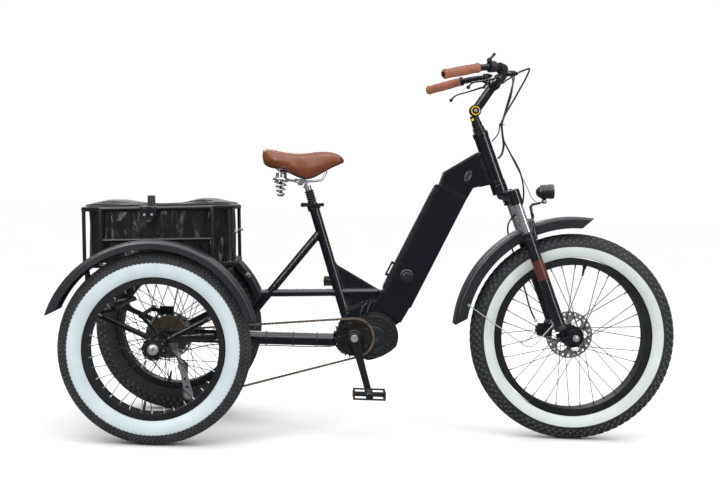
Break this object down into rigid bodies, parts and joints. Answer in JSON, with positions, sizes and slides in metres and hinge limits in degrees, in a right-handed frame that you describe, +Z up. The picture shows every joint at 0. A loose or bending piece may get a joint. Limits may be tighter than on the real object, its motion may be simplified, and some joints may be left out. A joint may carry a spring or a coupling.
{
  "type": "adult cargo tricycle",
  "caption": "Step-through adult tricycle with a mid-drive motor, fat tyres, spoked wheels, a sprung fork, mudguards and a lined cargo cage over the rear axle.",
  "frame": {"origin": "on the ground, below the middle of the bounding box", "axes": "+X forwards, +Y to the rider's left, +Z up"},
  "size_m": [2.0412, 0.874, 1.2659],
  "materials": {
    "frame_paint": "gloss black with a slight navy tint",
    "subframe_paint": "satin black",
    "motor_case": "fine satin black casting",
    "fork_paint": "gloss black",
    "dark_alloy": "satin black over aluminium",
    "rim_paint": "gloss black",
    "fender_plastic": "satin charcoal",
    "switch_plastic": "matte black",
    "battery_plastic": "gloss dark grey",
    "lamp_plastic": "black case with a clear lens",
    "tarpaulin": "shiny black coated fabric",
    "saddle_leather": "smooth caramel tan",
    "tan_grip": "caramel tan",
    "tyre_rubber": "charcoal with a pale sidewall band",
    "soft_rubber": "matte black",
    "cable_jacket": "satin black",
    "chain_steel": "bronze and grey, oiled",
    "sprocket_steel": "bronze steel",
    "spoke_steel": "dark",
    "rotor_steel": "turned steel",
    "chromed_steel": "polished chrome",
    "silver_alloy": "satin silver",
    "lock_metal": "dark metal"
  },
  "bodies": {
    "frame": {"main_frame": "frame_paint", "rear_subframe": "subframe_paint", "motor_housing": "motor_case", "rear_fender_right": "fender_plastic", "rear_fender_left": "fender_plastic", "rear_caliper": "dark_alloy", "basket_frame": "subframe_paint", "basket_liner": "tarpaulin", "chain": "chain_steel", "derailleur_body": "silver_alloy", "seat_clamp": "dark_alloy", "rear_cables": "cable_jacket"},
    "steering": {"fork_crown": "fork_paint", "fork_stanchions": "chromed_steel", "stem_base": "dark_alloy", "head_cables": "cable_jacket"},
    "bars": {"stem_arm": "dark_alloy", "handlebar": "dark_alloy", "grips": "tan_grip", "controls": "switch_plastic", "bar_cables": "cable_jacket"},
    "lever_right": {"brake_lever_right": "dark_alloy"},
    "lever_left": {"brake_lever_left": "dark_alloy"},
    "throttle": {"throttle_lever": "switch_plastic"},
    "fork": {"fork_lowers": "fork_paint", "front_fender": "fender_plastic", "front_caliper": "dark_alloy", "light_bracket": "fork_paint"},
    "lamp": {"headlight": "lamp_plastic"},
    "front_wheel": {"front_tyre": "tyre_rubber", "front_rim": "rim_paint", "front_spokes": "spoke_steel", "front_hub": "dark_alloy", "front_rotor": "rotor_steel"},
    "wheel_right": {"rear_tyre_right": "tyre_rubber", "rear_rim_right": "rim_paint", "rear_spokes_right": "spoke_steel", "rear_hub_right": "dark_alloy"},
    "wheel_left": {"rear_tyre_left": "tyre_rubber", "rear_rim_left": "rim_paint", "rear_spokes_left": "spoke_steel", "rear_hub_left": "dark_alloy"},
    "drive": {"differential": "silver_alloy", "cassette": "sprocket_steel"},
    "cranks": {"crank_right": "dark_alloy", "crank_left": "dark_alloy", "chainring": "sprocket_steel"},
    "right_pedal": {"pedal_right": "switch_plastic"},
    "left_pedal": {"pedal_left": "switch_plastic"},
    "chain_cage": {"derailleur_cage": "silver_alloy"},
    "saddle": {"saddle_cover": "saddle_leather", "saddle_frame": "chromed_steel", "seatpost_upper": "silver_alloy"},
    "post": {"seatpost_boot": "soft_rubber", "seatpost_lower": "dark_alloy"},
    "clamp_lever": {"seat_lever": "dark_alloy"},
    "battery": {"battery_pack": "battery_plastic", "battery_cover": "battery_plastic"},
    "lock": {"battery_lock": "lock_metal"},
    "cover": {"basket_cover": "tarpaulin"}
  },
  "joints": [
    {"name": "steering_turn", "type": "hinge", "parent": "frame", "child": "steering", "pos_m": [0.4041, 0, 0.848], "axis": [-0.3681, 0, 0.9298], "range_deg": [-60, 60], "deforming": ["head_cables", "bar_cables"]},
    {"name": "stem_tilt", "type": "hinge", "parent": "steering", "child": "bars", "pos_m": [0.3171, 0, 1.093], "axis": [0, 1, 0], "range_deg": [-30, 20], "deforming": ["bar_cables"]},
    {"name": "brake_squeeze_right", "type": "hinge", "parent": "bars", "child": "lever_right", "pos_m": [0.3721, -0.196, 1.192], "axis": [0, 1, 0], "range_deg": [0, 12], "stiffness_Nm_per_rad": 0.8, "springref_deg": -14.32},
    {"name": "brake_squeeze_left", "type": "hinge", "parent": "bars", "child": "lever_left", "pos_m": [0.3721, 0.196, 1.192], "axis": [0, 1, 0], "range_deg": [0, 12], "stiffness_Nm_per_rad": 0.8, "springref_deg": -14.32},
    {"name": "throttle_push", "type": "hinge", "parent": "bars", "child": "throttle", "pos_m": [0.3321, -0.233, 1.241], "axis": [0, 1, 0], "range_deg": [0, 30], "stiffness_Nm_per_rad": 0.1, "springref_deg": -11.46},
    {"name": "fork_travel", "type": "slide", "parent": "steering", "child": "fork", "axis": [-0.3681, 0, 0.9298], "range_m": [0, 0.05], "stiffness_N_per_m": 12000, "springref_m": -0.03, "deforming": ["head_cables"]},
    {"name": "headlight_tilt", "type": "hinge", "parent": "fork", "child": "lamp", "pos_m": [0.5621, 0, 0.797], "axis": [0, 1, 0], "range_deg": [-15, 15]},
    {"name": "front_wheel_spin", "type": "hinge", "parent": "fork", "child": "front_wheel", "pos_m": [0.6741, 0, 0.3465], "axis": [0, 1, 0], "continuous": true},
    {"name": "rear_wheel_spin_right", "type": "hinge", "parent": "frame", "child": "wheel_right", "pos_m": [-0.6859, -0.38, 0.299], "axis": [0, 1, 0], "continuous": true},
    {"name": "rear_wheel_spin_left", "type": "hinge", "parent": "frame", "child": "wheel_left", "pos_m": [-0.6859, 0.38, 0.299], "axis": [0, 1, 0], "continuous": true},
    {"name": "crank_spin", "type": "hinge", "parent": "frame", "child": "cranks", "pos_m": [-0.0619, 0, 0.32], "axis": [0, 1, 0], "continuous": true},
    {"name": "drive_spin", "type": "hinge", "parent": "frame", "child": "drive", "pos_m": [-0.6859, 0, 0.299], "axis": [0, 1, 0], "continuous": true},
    {"name": "pedal_spin_right", "type": "hinge", "parent": "cranks", "child": "right_pedal", "pos_m": [-0.0081, -0.13, 0.14404], "axis": [0, 1, 0], "continuous": true},
    {"name": "pedal_spin_left", "type": "hinge", "parent": "cranks", "child": "left_pedal", "pos_m": [-0.1157, 0.13, 0.49596], "axis": [0, 1, 0], "continuous": true},
    {"name": "derailleur_swing", "type": "hinge", "parent": "frame", "child": "chain_cage", "pos_m": [-0.6319, -0.05, 0.205], "axis": [0, 1, 0], "range_deg": [-8, 25], "stiffness_Nm_per_rad": 1, "deforming": ["chain"]},
    {"name": "seatpost_height", "type": "slide", "parent": "frame", "child": "post", "axis": [-0.3184, 0, 0.948], "range_m": [0, 0.1]},
    {"name": "saddle_suspension", "type": "slide", "parent": "post", "child": "saddle", "axis": [0.3184, 0, -0.948], "range_m": [0, 0.03], "stiffness_N_per_m": 15000, "springref_m": -0.01, "deforming": ["seatpost_boot"]},
    {"name": "seat_lever_open", "type": "hinge", "parent": "frame", "child": "clamp_lever", "pos_m": [-0.2489, -0.028, 0.756], "axis": [0, 1, 0], "range_deg": [0, 100]},
    {"name": "battery_slide", "type": "slide", "parent": "frame", "child": "battery", "axis": [-0.9063, 0, 0.4226], "range_m": [0, 0.09]},
    {"name": "lock_turn", "type": "hinge", "parent": "frame", "child": "lock", "pos_m": [0.10588, -0.04, 0.53134], "axis": [0, 1, 0], "range_deg": [0, 90]},
    {"name": "cover_open", "type": "hinge", "parent": "frame", "child": "cover", "pos_m": [-0.71308, 0.231, 0.73786], "axis": [-0.9986, 0, -0.0523], "range_deg": [0, 90]}
  ],
  "couplings": [
    {"joint": "drive_spin", "follows": "crank_spin", "ratio": 2.6667}
  ]
}
